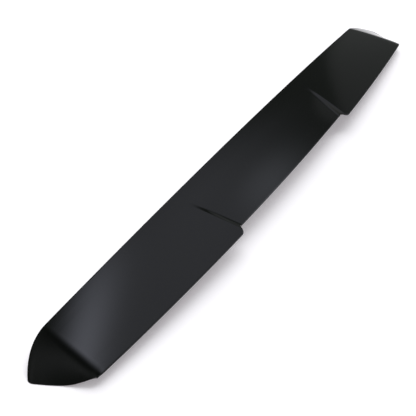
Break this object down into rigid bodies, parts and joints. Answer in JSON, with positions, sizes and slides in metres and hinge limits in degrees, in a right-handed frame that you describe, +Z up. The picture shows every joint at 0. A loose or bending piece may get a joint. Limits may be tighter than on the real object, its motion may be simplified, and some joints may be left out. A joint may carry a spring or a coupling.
{
  "type": "rear spoiler",
  "caption": "Long arched black plastic rear spoiler for a car, with a sunk middle between slanted steps and down-turned ends, bonded on from below.",
  "frame": {"origin": "on the bench under the middle of the part's box, as it lies on the rims of its two down-turned ends", "axes": "X runs across the car, +Y points forward to the leading edge, +Z is up; the part is symmetric about X = 0"},
  "size_m": [1.1338, 0.1376, 0.0663],
  "materials": {
    "gloss_black_abs": "smooth moulded, satin gloss black"
  },
  "bodies": {
    "root": {"spoiler_blade": "gloss_black_abs"}
  },
  "joints": []
}
